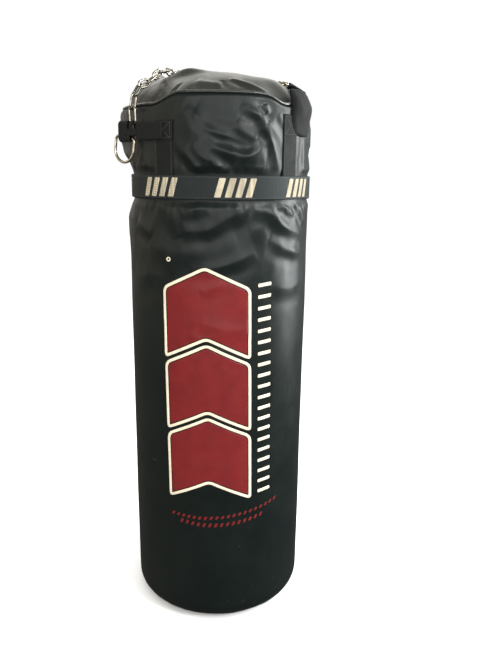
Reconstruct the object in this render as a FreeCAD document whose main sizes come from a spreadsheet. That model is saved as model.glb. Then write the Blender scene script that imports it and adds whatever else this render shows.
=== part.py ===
import FreeCAD, Part
import math
import os

# Hanging heavy bag: stuffed synthetic-leather cylinder with a sewn crown, a woven band, four webbing straps,
# four D-rings and a four-leg hanging chain with a swivel.  Millimetres, +Z up, the printed side faces -Y.
# The chains lie slack over the crown.

V = FreeCAD.Vector
doc = FreeCAD.newDocument("heavy_bag")

# ---------------------------------------------------------------- dimensions
SIZES = [
    ("shell_radius", 178.0), ("seam_height", 1036.0), ("cap_radius", 169.9), ("crown_rise", 52.0),
    ("base_corner", 40.0), ("shoulder_corner", 8.0), ("vinyl", 2.0),
    ("welt_radius", 3.2), ("welt_ring", 174.8), ("welt_height", 1038.2),
    ("liner_thick", 11.7), ("fill_bottom", 42.0), ("fill_top", 1010.0), ("pad_radius", 137.0),
    ("sack_radius", 59.8), ("sack_height", 250.0), ("sack_gap", 4.0), ("sack_bottom", 121.0),
    ("band_bottom", 855.0), ("band_width", 42.0), ("band_inner", 179.9), ("band_thick", 1.6),
    ("strap_width", 38.0), ("strap_thick", 1.6), ("strap_inner", 178.1), ("strap_bottom", 846.0),
    ("strap_sweep", 12.3), ("web_thick", 3.6),
    ("ring_wire", 5.0), ("ring_width", 45.0), ("ring_leg", 22.0),
    ("link_wire", 4.0), ("link_length", 31.0), ("link_width", 16.0), ("link_pitch", 22.4),
    ("conn_wire", 3.6), ("conn_length", 33.0), ("conn_width", 17.0),
    ("collector_radius", 22.0), ("collector_wire", 6.0),
    ("housing_radius", 13.0), ("housing_length", 26.0), ("stud_radius", 6.0), ("stud_hole", 6.06),
    ("eye_radius", 16.0), ("eye_bore", 9.5), ("eye_thick", 8.0),
]
sheet = doc.addObject("Spreadsheet::Sheet", "sizes")
for row, (alias, value) in enumerate(SIZES, start=1):
    sheet.set("A%d" % row, alias)
    sheet.set("B%d" % row, "%g" % value)
    sheet.setAlias("B%d" % row, alias)
doc.recompute()


def dim(alias):
    """The present value of one sheet row."""
    return float(sheet.get(alias))


parts = []


def bind(obj, **links):
    """Bind properties to sheet rows."""
    for prop, expression in links.items():
        obj.setExpression(prop, expression)


def keep(obj, node):
    obj.Label = node
    parts.append(obj)
    return obj


# ---------------------------------------------------------------- Part helpers
def cylinder(name, radius, height, base):
    c = doc.addObject("Part::Cylinder", name)
    bind(c, Radius=radius, Height=height)
    c.setExpression("Placement.Base.z", base)
    return c


def cut(name, base, tool):
    c = doc.addObject("Part::Cut", name)
    c.Base = base
    c.Tool = tool
    return c


def solid_node(node, shape, placement=None):
    f = doc.addObject("Part::Feature", node)
    f.Shape = shape
    if placement is not None:
        f.Placement = placement
    return keep(f, node)


# ---------------------------------------------------------------- PartDesign helpers
def plane(body, role):
    for feature in body.Origin.OriginFeatures:
        if feature.Role == role:
            return feature
    raise ValueError(role)


def new_body(node):
    body = doc.addObject("PartDesign::Body", node)
    return keep(body, node)


def new_sketch(body, role="XZ_Plane"):
    sk = body.newObject("Sketcher::SketchObject", body.Name + "_sketch")
    sk.AttachmentSupport = [(plane(body, role), "")]
    sk.MapMode = "FlatFace"
    return sk


def line(sk, a, b):
    sk.addGeometry(Part.LineSegment(V(a[0], a[1], 0), V(b[0], b[1], 0)), False)


def arc(sk, centre, radius, start, end):
    """Counter-clockwise arc between two angles in degrees."""
    circle = Part.Circle(V(centre[0], centre[1], 0), V(0, 0, 1), radius)
    sk.addGeometry(Part.ArcOfCircle(circle, math.radians(start), math.radians(end)), False)


def polygon(sk, points):
    for a, b in zip(points, points[1:] + points[:1]):
        line(sk, a, b)


def revolve(body, sk, angle=None):
    """Turn a sketch about +Z, the whole way or by the given sheet row."""
    doc.recompute()
    rev = body.newObject("PartDesign::Revolution", body.Name + "_turn")
    rev.Profile = sk
    rev.ReferenceAxis = (sk, ["V_Axis"])
    if angle is None:
        rev.Angle = 360.0
    else:
        rev.Midplane = True
        bind(rev, Angle=angle)
    sk.Visibility = False
    body.Tip = rev
    doc.recompute()
    return rev


# ---------------------------------------------------------------- curves
def ribbon(points, thickness):
    """Outline of a strip of webbing that follows a polyline."""
    left = []
    right = []
    half = thickness / 2
    for i, p in enumerate(points):
        a = points[max(i - 1, 0)]
        b = points[min(i + 1, len(points) - 1)]
        dx, dz = b[0] - a[0], b[1] - a[1]
        n = math.hypot(dx, dz)
        nx, nz = -dz / n, dx / n
        left.append((p[0] + nx * half, p[1] + nz * half))
        right.append((p[0] - nx * half, p[1] - nz * half))
    return left + right[::-1]


def smooth(points, per_span=5):
    """Catmull-Rom points through a few control points."""
    out = []
    ends = [points[0]] + points + [points[-1]]
    for i in range(1, len(ends) - 2):
        p0, p1, p2, p3 = ends[i - 1:i + 3]
        for k in range(per_span):
            t = k / per_span
            out.append(tuple(
                0.5 * (2 * p1[c] + (p2[c] - p0[c]) * t + (2 * p0[c] - 5 * p1[c] + 4 * p2[c] - p3[c]) * t * t
                       + (3 * p1[c] - p0[c] - 3 * p2[c] + p3[c]) * t ** 3) for c in range(2)))
    out.append(points[-1])
    return out


# ---------------------------------------------------------------- crown
SEAM = dim("seam_height")
RISE = dim("crown_rise")
CAP = dim("cap_radius")
CROWN = (CAP ** 2 + RISE ** 2) / (2 * RISE)
CROWN_Z = SEAM + RISE - CROWN


# ---------------------------------------------------------------- stuffed cylinder
def build_shell():
    body = new_body("shell_wall")
    sk = new_sketch(body)
    r, t = dim("shell_radius"), dim("vinyl")
    c, s = dim("base_corner"), dim("shoulder_corner")
    low, high = (r - c, c), (r - s, SEAM - s)
    k = math.sqrt(0.5)
    line(sk, (r, c), (r, high[1]))
    arc(sk, high, s, 0, 90)
    line(sk, (high[0], SEAM), (high[0], SEAM - t))
    arc(sk, high, s - t, 0, 90)
    line(sk, (r - t, high[1]), (r - t, c))
    arc(sk, low, c - t, 315, 360)
    line(sk, (low[0] + (c - t) * k, low[1] - (c - t) * k), (low[0] + c * k, low[1] - c * k))
    arc(sk, low, c, 315, 360)
    revolve(body, sk)


def build_base():
    body = new_body("base_panel")
    sk = new_sketch(body)
    r, t, c = dim("shell_radius"), dim("vinyl"), dim("base_corner")
    low = (r - c, c)
    lift = 0.15                                   # seam gap, in degrees of the corner
    k = math.radians(315 - lift)
    line(sk, (0, 0), (low[0], 0))
    arc(sk, low, c, 270, 315 - lift)
    line(sk, (low[0] + c * math.cos(k), low[1] + c * math.sin(k)),
         (low[0] + (c - t) * math.cos(k), low[1] + (c - t) * math.sin(k)))
    arc(sk, low, c - t, 270, 315 - lift)
    line(sk, (low[0], t), (0, t))
    line(sk, (0, t), (0, 0))
    revolve(body, sk)


def dome(node, outer, inner, edge, floor=None):
    """A slice of the crown between two spheres, or a dome with a flat floor."""
    body = new_body(node)
    sk = new_sketch(body)
    centre = (0, CROWN_Z)
    a = math.degrees(math.acos(edge / outer))
    arc(sk, centre, outer, a, 90)
    top = (0, CROWN_Z + outer)
    rim = (edge, CROWN_Z + math.sqrt(outer ** 2 - edge ** 2))
    if floor is None:
        b = math.degrees(math.acos(edge / inner))
        arc(sk, centre, inner, b, 90)
        line(sk, top, (0, CROWN_Z + inner))
        line(sk, rim, (edge, CROWN_Z + math.sqrt(inner ** 2 - edge ** 2)))
    else:
        line(sk, top, (0, floor))
        line(sk, (0, floor), (edge, floor))
        line(sk, (edge, floor), rim)
    revolve(body, sk)


def build_stuffed_cylinder():
    build_shell()
    build_base()
    dome("top_cap", CROWN, CROWN - dim("vinyl"), CAP)
    dome("top_pad", CROWN - dim("vinyl") - 0.4, None, 164.0, dim("fill_top") + 1)

    welt = doc.addObject("Part::Torus", "top_welt")
    bind(welt, Radius1="sizes.welt_ring", Radius2="sizes.welt_radius")
    welt.setExpression("Placement.Base.z", "sizes.welt_height")
    keep(welt, "top_welt")

    outer = cylinder("liner_outer", "sizes.shell_radius - sizes.vinyl - 0.3",
                     "sizes.fill_top - sizes.fill_bottom", "sizes.fill_bottom")
    hole = cylinder("liner_hole", "sizes.shell_radius - sizes.vinyl - 0.3 - sizes.liner_thick",
                    "sizes.fill_top - sizes.fill_bottom + 20", "sizes.fill_bottom - 10")
    keep(cut("foam_liner", outer, hole), "foam_liner")

    keep(cylinder("base_pad", "sizes.pad_radius", "sizes.base_corner - sizes.vinyl - 0.4", "sizes.vinyl + 0.2"),
         "base_pad")

    core = cylinder("fill_core", "sizes.shell_radius - sizes.vinyl - 0.5 - sizes.liner_thick",
                    "sizes.fill_top - sizes.fill_bottom", "sizes.fill_bottom")
    pocket = cylinder("fill_pocket", "sizes.sack_radius + 0.2", "3 * sizes.sack_height + 4 * sizes.sack_gap",
                      "sizes.sack_bottom - sizes.sack_gap")
    keep(cut("fibre_fill", core, pocket), "fibre_fill")

    sacks = []
    for i in range(3):
        sacks.append(cylinder("sack_%d" % (i + 1), "sizes.sack_radius", "sizes.sack_height",
                              "sizes.sack_bottom + %d * (sizes.sack_height + sizes.sack_gap)" % i))
    group = doc.addObject("Part::Compound", "sand_sacks")
    group.Links = sacks
    keep(group, "sand_sacks")

    outer = cylinder("band_outer", "sizes.band_inner + sizes.band_thick", "sizes.band_width", "sizes.band_bottom")
    hole = cylinder("band_hole", "sizes.band_inner", "sizes.band_width + 20", "sizes.band_bottom - 10")
    keep(cut("woven_band", outer, hole), "woven_band")


# ---------------------------------------------------------------- straps on the shell
STRAP_ANGLES = [-33.0, 46.0, 137.0, -134.0]       # from the front, positive towards +X


def around(angle):
    """Turn a part drawn in the XZ plane (pointing to +X) to an angle counted from the front."""
    return FreeCAD.Placement(V(0, 0, 0), FreeCAD.Rotation(V(0, 0, 1), angle - 90))


def sector(node, outline, angle, sweep):
    body = new_body(node)
    sk = new_sketch(body)
    polygon(sk, outline)
    revolve(body, sk, sweep)
    body.Placement = around(angle)
    return body


FLAP_ANGLE = 58.0


def strap_outline(top, pad_low=None):
    """Webbing on the shell, with an optional sewn pad under the loop's fold."""
    r, t, low = dim("strap_inner"), dim("strap_thick"), dim("strap_bottom")
    if pad_low is None:
        return [(r, low), (r + t, low), (r + t, top), (r, top)]
    return [(r, low), (r + t, low), (r + t, pad_low), (r + 3.4, pad_low + 2), (r + 3.4, top), (r, top)]


def build_straps():
    sector("strap_1", strap_outline(990, 956), STRAP_ANGLES[0], "sizes.strap_sweep")
    sector("strap_2", strap_outline(1004), STRAP_ANGLES[1], "sizes.strap_sweep")
    for k in (2, 3):
        sector("strap_%d" % (k + 1), strap_outline(1030, 1012), STRAP_ANGLES[k], "sizes.strap_sweep")
    flap = smooth([(181.7, 1000), (181.9, 980), (184.6, 968.5), (189.0, 972), (190.6, 990), (190.2, 1020),
                   (184.5, 1043), (176, 1049.2), (169.4, 1049.6)])
    sector("strap_2_flap", ribbon(flap, 2.6), FLAP_ANGLE, "sizes.strap_sweep * 1.8")


# ---------------------------------------------------------------- wire parts
def wire_loop(corners, wire_radius):
    """Round wire swept along a closed path of (kind, points) edges."""
    path = Part.Wire(Part.__sortEdges__(corners))
    start = path.OrderedEdges[0]
    at = start.valueAt(start.FirstParameter)
    along = start.tangentAt(start.FirstParameter)
    profile = Part.Wire(Part.Edge(Part.Circle(at, along, wire_radius)))
    return path.makePipeShell([profile], True, False)


def link_shape(length, width, wire):
    """A chain link along X in the XY plane, centred on the origin."""
    bend = (width - wire) / 2
    half = (length - width) / 2
    edges = [
        Part.makeLine(V(-half, bend, 0), V(half, bend, 0)),
        Part.Arc(V(half, bend, 0), V(half + bend, 0, 0), V(half, -bend, 0)).toShape(),
        Part.makeLine(V(half, -bend, 0), V(-half, -bend, 0)),
        Part.Arc(V(-half, -bend, 0), V(-half - bend, 0, 0), V(-half, bend, 0)).toShape(),
    ]
    return wire_loop(edges, wire / 2)


def d_ring_shape(width, leg, wire, corner=7.0):
    """A D-ring: straight bar along Y through the origin, the round end towards +X."""
    h = width / 2
    k = corner * (1 - math.sqrt(0.5))
    edges = [
        Part.makeLine(V(0, -h + corner, 0), V(0, h - corner, 0)),
        Part.Arc(V(0, h - corner, 0), V(k, h - k, 0), V(corner, h, 0)).toShape(),
        Part.makeLine(V(corner, h, 0), V(leg, h, 0)),
        Part.Arc(V(leg, h, 0), V(leg + h, 0, 0), V(leg, -h, 0)).toShape(),
        Part.makeLine(V(leg, -h, 0), V(corner, -h, 0)),
        Part.Arc(V(corner, -h, 0), V(k, -h + k, 0), V(0, -h + corner, 0)).toShape(),
    ]
    return wire_loop(edges, wire / 2)


def frame(origin, along, normal):
    """Placement that takes +X to `along` and +Z close to `normal`."""
    x = V(along).normalize()
    z = V(normal) - x * x.dot(V(normal))
    z.normalize()
    y = z.cross(x)
    m = FreeCAD.Matrix(x.x, y.x, z.x, origin.x, x.y, y.y, z.y, origin.y, x.z, y.z, z.z, origin.z, 0, 0, 0, 1)
    return FreeCAD.Placement(m)


# ---------------------------------------------------------------- chain legs
def crown_normal(p):
    n = V(p.x, p.y, p.z - CROWN_Z)
    return n.normalize()


def on_crown(x, y, lift):
    """The point over (x, y) that is `lift` away from the crown."""
    return V(x, y, CROWN_Z + math.sqrt((CROWN + lift) ** 2 - x * x - y * y))


def walk(start, heading, turns, lifts, step):
    """March joint points over the crown, turning by the listed degrees."""
    out = [start]
    h = heading
    for turn, lift in zip(turns, lifts):
        h += turn
        dx, dy = math.cos(math.radians(h)), math.sin(math.radians(h))
        lo, hi = 0.0, step * 1.2
        for _ in range(40):
            mid = (lo + hi) / 2
            q = on_crown(out[-1].x + dx * mid, out[-1].y + dy * mid, lift)
            if (q - out[-1]).Length < step:
                lo = mid
            else:
                hi = mid
        out.append(q)
    return out


LINK = link_shape(dim("link_length"), dim("link_width"), dim("link_wire"))
CONN = link_shape(dim("conn_length"), dim("conn_width"), dim("conn_wire"))
RING = d_ring_shape(dim("ring_width"), dim("ring_leg"), dim("ring_wire"))
BAR = (dim("link_length") - dim("link_wire")) / 2      # link centre to end bar
CBAR = (dim("conn_length") - dim("conn_wire")) / 2
REACH = dim("ring_leg") + dim("ring_width") / 2        # D-ring bar to round end
LIFT = 8.7                                             # centre line of the chain above the crown


def links_along(joints, flat_first, normals=None):
    """One link between each pair of joint points, turned a quarter turn from its neighbours."""
    out = []
    for i, (a, b) in enumerate(zip(joints, joints[1:])):
        centre = (a + b) * 0.5
        d = b - a
        up = normals[i] if normals else crown_normal(centre)
        flat = (i % 2 == 0) == flat_first
        side = d.cross(up)
        out.append((frame(centre, d, up if flat else side), flat))
    return out


def chain_nodes(k, placed, split):
    """Two groups of separate link solids; the leg folds between them."""
    for tag, group in (("lower", placed[:split]), ("upper", placed[split:])):
        solids = []
        for place, _flat in group:
            s = LINK.copy()
            s.Placement = place
            solids.append(s)
        solid_node("chain_%d_%s" % (k, tag), Part.Compound(solids))


def tab_loop(node, hinge, along, normal, run, width):
    """Doubled webbing from a fold line to an eye that holds a D-ring's bar."""
    body = new_body(node)
    sk = new_sketch(body)
    half = dim("web_thick") / 2
    big, small = 5.8, 3.6
    meet = run - math.sqrt(big ** 2 - half ** 2)
    a = math.degrees(math.asin(half / big))
    line(sk, (0, half), (meet, half))
    arc(sk, (run, 0), big, -180 + a, 180 - a)
    line(sk, (meet, -half), (0, -half))
    arc(sk, (0, 0), half, 90, 270)
    sk.addGeometry(Part.Circle(V(run, 0, 0), V(0, 0, 1), small), False)
    doc.recompute()
    pad = body.newObject("PartDesign::Pad", node + "_web")
    pad.Profile = sk
    pad.Midplane = True
    bind(pad, Length=width)
    body.Tip = pad
    sk.Visibility = False
    doc.recompute()
    body.Placement = frame(hinge, along, normal)
    return hinge + along * run


def ring_and_connector(k, bar, ring_dir, ring_up, conn_dir):
    """D-ring from its bar, then the connector through its round end; gives the next joint's start."""
    solid_node("d_ring_%d" % k, RING, frame(bar, ring_dir, ring_up))
    end = bar + ring_dir * REACH
    near = end - ring_dir * (dim("ring_wire") + dim("conn_wire") + 0.8) * 0.5
    centre = near + conn_dir * CBAR
    side = conn_dir.cross(ring_up)
    solid_node("connector_%d" % k, CONN, frame(centre, conn_dir, side))
    start = centre + conn_dir * (CBAR - NEST)
    return {"bar": bar, "ring_end": end, "conn_near": near, "conn_far": centre + conn_dir * CBAR, "start": start}


NEST = (dim("conn_wire") + dim("link_wire")) / 2 + 0.5     # connector bar to first link bar
HANG = BAR - dim("link_pitch") / 2                         # link bar to joint point
LINKS = 10
legs = {}


def polar(angle, r, z):
    a = math.radians(angle)
    return V(r * math.sin(a), -r * math.cos(a), z)


def unit(v):
    u = V(v)
    return u.normalize()


def build_leg_1():
    """The loop of strap 1 has flopped round the shoulder; its ring hangs, its chain climbs over the crown."""
    mid_z = 972.0
    a = polar(STRAP_ANGLES[0], 184.0, mid_z)
    d = unit(V(-0.814, 0.582, 0))
    n = V(-d.y, d.x, 0)                            # away from the bag
    t = dim("web_thick")
    up = V(0, 0, 1)
    start, length = 60.0, 38.0
    wall, deep, tall, sink = 2.4, 15.0, 38.0, 3.0
    centre = a + d * start - n * sink

    def stadium(width, height):
        r = width / 2
        s = height / 2 - r
        edges = [Part.makeLine(V(0, -r, -s), V(0, -r, s)),
                 Part.Arc(V(0, -r, s), V(0, 0, s + r), V(0, r, s)).toShape(),
                 Part.makeLine(V(0, r, s), V(0, r, -s)),
                 Part.Arc(V(0, r, -s), V(0, 0, -s - r), V(0, -r, -s)).toShape()]
        return Part.Face(Part.Wire(edges)).extrude(V(length, 0, 0))

    hollow = stadium(deep - 2 * wall, tall - 2 * wall)
    tube = stadium(deep, tall).cut(hollow)
    for x0, x1 in ((-1.0, 4.2), (11.6, 17.0)):     # the web is gathered where the connector holds it
        tube = tube.cut(Part.makeBox(x1 - x0, 40, 30, V(x0, -20, 4)))
    # local frame: +X along the shoulder, +Y away from the bag, +Z up
    place = FreeCAD.Placement(FreeCAD.Matrix(d.x, n.x, 0, centre.x, d.y, n.y, 0, centre.y, 0, 0, 1, centre.z,
                                             0, 0, 0, 1))
    arm = Part.makeBox(start + 6, t, 30, V(-start, sink - t / 2, -15))
    arm = arm.fuse(Part.makeCylinder(t / 2, 30, V(-start, sink, -15)))
    arm = arm.cut(hollow).cut(Part.makeBox(9, 40, 30, V(-2.0, -20, 4)))
    web = tube.fuse(arm).removeSplitter().cut(Part.makeBox(14.0, 40, 22, V(-2.0, -20, -30.0)))
    solid_node("loop_1", web, place)

    def local(x, y, z):
        return place.multVec(V(x, y, z))

    bar = local(27.0, 0, -tall / 2 + wall + dim("ring_wire") / 2 + 4.4)
    tilt = math.radians(10.0)
    down = d * math.sin(tilt) - up * math.cos(tilt)
    solid_node("d_ring_1", RING, frame(bar, down, n))
    low = local(7.9, 0, tall / 2 - wall - dim("conn_wire") / 2 - 2.1)
    conn_dir = unit(up + n * 0.05)
    conn = low + conn_dir * CBAR
    solid_node("connector_1", CONN, frame(conn, conn_dir, n))
    top = conn + conn_dir * (CBAR - NEST)
    first = unit(up - n * 0.16 - d * 0.12)
    j0 = top + first * HANG
    j1 = j0 + first * dim("link_pitch")
    j2 = j1 + unit(on_crown(-140.0, -101.0, 16.0) - j1) * dim("link_pitch")
    rest = walk(j2, 55.0, [0, 2, 2, 2, 2, 2, 2, 2], [11.0, 13.5, 16.5, 14.0, 9.5] + [LIFT] * 3,
                dim("link_pitch"))
    joints = [j0, j1] + rest
    ups = [n, unit(n + crown_normal(j1))] + [crown_normal(j) for j in joints[2:]]
    placed = links_along(joints, False, ups)
    chain_nodes(1, placed, 5)
    legs[1] = {"hinge": a, "hinge_axis": n, "bar": bar, "bar_axis": unit(d * math.cos(tilt) + up * math.sin(tilt)),
               "conn_low": low, "along": d, "joints": joints, "placed": placed}


def crown_leg(k, hinge, heading, run, width, turns):
    """Loop, D-ring, connector and chain lying over the crown from a fold line."""
    bar_at = walk(hinge, heading, [0], [7.2], run)[-1]
    up = crown_normal(bar_at)
    along = unit(bar_at - hinge)
    bar = tab_loop("loop_%d" % k, hinge, along, up, run, width)
    end = walk(bar, heading, [0], [8.2], REACH)[-1]
    ahead = walk(end, heading - 6, [0], [12.0], CBAR * 2 - 5)[-1]
    info = ring_and_connector(k, bar, unit(end - bar), up, unit(ahead - end))
    joints = walk(info["start"], heading, turns, [LIFT + 1.5] + [LIFT] * (LINKS - 1), dim("link_pitch"))
    placed = links_along(joints, True)
    chain_nodes(k, placed, LINKS // 2)
    info.update({"hinge": hinge, "along": along, "up": up, "joints": joints, "placed": placed})
    legs[k] = info


def hanging_leg(k):
    """Loop, D-ring, connector and chain that hang straight down outside the shell."""
    angle = STRAP_ANGLES[k - 1]
    out_dir = polar(angle, 1.0, 0)
    hinge = polar(angle, 183.6, 1027.0)
    run = 38.0
    along = unit(V(0, 0, -1) + out_dir * 0.09)
    bar = tab_loop("loop_%d" % k, hinge, along, out_dir, run, "sizes.strap_width - 2")
    ring_dir = unit(V(0, 0, -1) + out_dir * 0.075)
    info = ring_and_connector(k, bar, ring_dir, out_dir, V(0, 0, -1))
    joints = [info["start"] - V(0, 0, dim("link_pitch") * i) for i in range(LINKS + 1)]
    placed = links_along(joints, True, [out_dir] * LINKS)
    chain_nodes(k, placed, LINKS // 2)
    info.update({"hinge": hinge, "along": along, "out": out_dir, "joints": joints, "placed": placed})
    legs[k] = info


def build_leg_2():
    hinge = on_crown(150.0, -60.0, 10.5)
    crown_leg(2, hinge, 108.0, 24.0, "sizes.strap_width - 10", [-18, -7, 22, 32, 32, 26, 14, -34, -22, 22])


# ---------------------------------------------------------------- collector and swivel
def build_hanger():
    last = legs[2]["joints"][-1]
    d = unit(last - legs[2]["joints"][-2])
    far_bar = last + d * HANG
    wire = dim("collector_wire")
    inside = (wire + dim("link_wire")) / 2 + 0.5
    near = far_bar - d * inside
    radius = dim("collector_radius")
    ring_dir = unit(V(-1.0, 0.02, 0.02))
    centre = near + ring_dir * radius
    up = unit(crown_normal(centre) + V(0, 0, 0.6))
    ring = doc.addObject("Part::Torus", "collector_ring")
    bind(ring, Radius1="sizes.collector_radius", Radius2="sizes.collector_wire / 2")
    ring.Placement = frame(centre, ring_dir, up)
    keep(ring, "collector_ring")

    axis = unit(V(-1.0, 0.05, -0.10))
    normal = unit(V(0, 0, 1) + axis * 0.10)
    origin = centre + ring_dir * radius + axis * 1.6
    place = frame(origin, axis, normal)
    # every swivel piece is drawn along local +X from the centre of the lug hole
    hr, hl = dim("housing_radius"), dim("housing_length")
    x_cup = 13.0
    x_end = x_cup + hl
    sr, sh = dim("stud_radius"), dim("stud_hole")
    lug = Part.makeCylinder(8.6, 6, V(0, 3, 0), V(0, -1, 0))
    lug = lug.fuse(Part.makeBox(x_cup, 6, 10, V(0, -3, -5)))
    lug = lug.cut(Part.makeCylinder(5.4, 20, V(0, 10, 0), V(0, -1, 0)))
    cup = Part.makeCylinder(hr, hl, V(x_cup, 0, 0), V(1, 0, 0))
    cavity = Part.makeCylinder(hr - 3, hl - 8, V(x_cup + 4, 0, 0), V(1, 0, 0))
    bore = Part.makeCylinder(sh, 10, V(x_end - 6, 0, 0), V(1, 0, 0))
    housing = lug.fuse(cup).removeSplitter().cut(cavity).cut(bore)
    solid_node("swivel_housing", housing, place)

    washer = Part.makeCylinder(hr - 3.6, 2.4, V(x_end - 4 - 0.1 - 2.4, 0, 0), V(1, 0, 0))
    washer = washer.cut(Part.makeCylinder(sh, 5, V(x_end - 8, 0, 0), V(1, 0, 0)))
    solid_node("swivel_washer", washer, place)

    head = Part.makeCylinder(hr - 4.6, 5, V(x_end - 4 - 2.7 - 5, 0, 0), V(1, 0, 0))
    x_eye = x_end + 6 + dim("eye_radius")
    stud = Part.makeCylinder(sr, x_eye - x_end + 7.0 - 12, V(x_end - 7.0, 0, 0), V(1, 0, 0))
    et = dim("eye_thick")
    plate = Part.makeCylinder(dim("eye_radius"), et, V(x_eye, 0, -et / 2), V(0, 0, 1))
    eye = head.fuse(stud).fuse(plate).removeSplitter()
    eye = eye.cut(Part.makeCylinder(dim("eye_bore"), 2 * et, V(x_eye, 0, -et), V(0, 0, 1)))
    solid_node("swivel_eye", eye, place)
    legs["hanger"] = {"ring_centre": centre, "ring_up": up, "near": near, "ring_dir": ring_dir, "lug": origin,
                      "axis": axis, "normal": normal, "eye": place.multVec(V(x_eye, 0, 0))}


def check_and_write():
    doc.recompute()
    os.makedirs("parts", exist_ok=True)
    for obj in doc.Objects:
        if "Invalid" in obj.State or "Error" in obj.State:
            raise RuntimeError("%s: %s" % (obj.Name, obj.State))
    for obj in parts:
        shape = obj.Shape
        if shape.isNull() or not shape.isValid() or not shape.Solids:
            raise RuntimeError("bad shape: %s" % obj.Label)
        shape.exportStep(os.path.join("parts", obj.Label + ".step"))


build_stuffed_cylinder()
build_straps()
build_leg_1()
build_leg_2()
hanging_leg(3)
hanging_leg(4)
build_hanger()
check_and_write()
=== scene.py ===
"""The looks of a heavy punching bag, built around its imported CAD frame.

Lengths are metres. Angles round the bag are degrees from its printed front (-Y) towards +X.
A place on the bag's side is (angle, height); a drawing on it is in millimetres, with u along
the surface from the front line and v as the height.
"""
import math
import random

import bmesh
import bpy
import numpy as np
from mathutils import Matrix, Vector


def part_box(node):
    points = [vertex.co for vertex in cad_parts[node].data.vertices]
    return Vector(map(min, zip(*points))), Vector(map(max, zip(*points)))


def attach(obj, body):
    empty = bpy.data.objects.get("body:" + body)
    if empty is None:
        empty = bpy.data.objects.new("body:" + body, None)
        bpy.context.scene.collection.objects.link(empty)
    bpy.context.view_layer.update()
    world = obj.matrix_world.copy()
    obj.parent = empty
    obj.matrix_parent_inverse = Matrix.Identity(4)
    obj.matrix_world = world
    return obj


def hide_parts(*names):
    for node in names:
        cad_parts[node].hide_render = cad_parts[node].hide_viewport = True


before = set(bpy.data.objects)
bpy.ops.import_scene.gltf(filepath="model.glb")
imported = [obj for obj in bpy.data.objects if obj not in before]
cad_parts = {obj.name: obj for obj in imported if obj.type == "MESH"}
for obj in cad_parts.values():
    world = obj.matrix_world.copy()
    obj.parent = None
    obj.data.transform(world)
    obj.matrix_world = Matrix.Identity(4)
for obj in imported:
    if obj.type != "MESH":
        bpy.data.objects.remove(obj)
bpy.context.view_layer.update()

MM = 0.001
SEED = 11

# ---- sizes, from the frame
shell_low, shell_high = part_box("shell_wall")
BAG_RADIUS = (shell_high.x - shell_low.x) / 2
SEAM_HEIGHT = shell_high.z
CROWN_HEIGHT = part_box("top_cap")[1].z
band_low, band_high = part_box("woven_band")
BAND_LOW, BAND_HIGH, BAND_RADIUS = band_low.z, band_high.z, band_high.x
BASE_CORNER = 40 * MM
SHOULDER = 8 * MM
SEAM_RADIUS = BAG_RADIUS - SHOULDER
WELT_RADIUS = 3.2 * MM
PINCH = 1.8 * MM
STRAP_ANGLES = {"strap_1": -33, "strap_2": 46, "strap_3": 137, "strap_4": -134}
STRAP_WIDTH = 38 * MM
STRAP_THICK = 1.6 * MM
FLAP_ANGLE, FLAP_HALF = 58.0, 11.0
COLUMNS = 480
ROUND = np.arange(COLUMNS) * 360 / COLUMNS
FOLD_SIZE, FOLD_WIDTH = 1.45, 1.6
SIDE_BULGE, BAND_CINCH, SEAM_PUSH = 12.5 * MM, 10 * MM, 9 * MM
LEFT_RISE, RIGHT_RISE, FRONT_RISE = 28 * MM, 8 * MM, 12 * MM


# ---- small helpers
def smooth_step(x, low, high):
    t = np.clip((x - low) / (high - low), 0, 1)
    return t * t * (3 - 2 * t)


def hump(x, centre, width):
    return np.exp(-(((x - centre) / width) ** 2))


def wrap(degrees):
    return (np.asarray(degrees, float) + 180) % 360 - 180


def round_bag(degrees, radius, height):
    """Points at an angle round the bag, a distance from its axis and a height."""
    turn = np.radians(degrees)
    parts = np.broadcast_arrays(radius * np.sin(turn), -radius * np.cos(turn), height)
    return np.stack(parts, axis=-1)


def radial(point):
    """The way out from the bag's axis at a point."""
    return Vector((point[0], point[1], 0)).normalized()


def waves(degrees, height, seed, count, around, along):
    """A smooth unevenness between -1 and 1 that closes on itself round the bag."""
    draw = random.Random(seed)
    total = np.zeros(np.broadcast(degrees, height).shape)
    for _ in range(count):
        turns = draw.randint(*around)
        rise = draw.uniform(*along)
        phase = draw.uniform(0, 2 * math.pi)
        total += np.sin(np.radians(degrees) * turns + height * rise + phase)
    return total / math.sqrt(count)


def curve_through(points, step=4.0):
    """A Catmull-Rom line through a few points, as closely spaced points."""
    knots = np.array([points[0], *points, points[-1]], float)
    line = []
    for a, b, c, d in zip(knots, knots[1:], knots[2:], knots[3:]):
        parts = max(2, int(np.linalg.norm(c - b) / step))
        for t in np.linspace(0, 1, parts, endpoint=False):
            line.append(
                0.5 * (2 * b + (c - a) * t + (2 * a - 5 * b + 4 * c - d) * t**2
                       + (3 * b - a - 3 * c + d) * t**3))
    line.append(knots[-1])
    return np.array(line)


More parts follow.
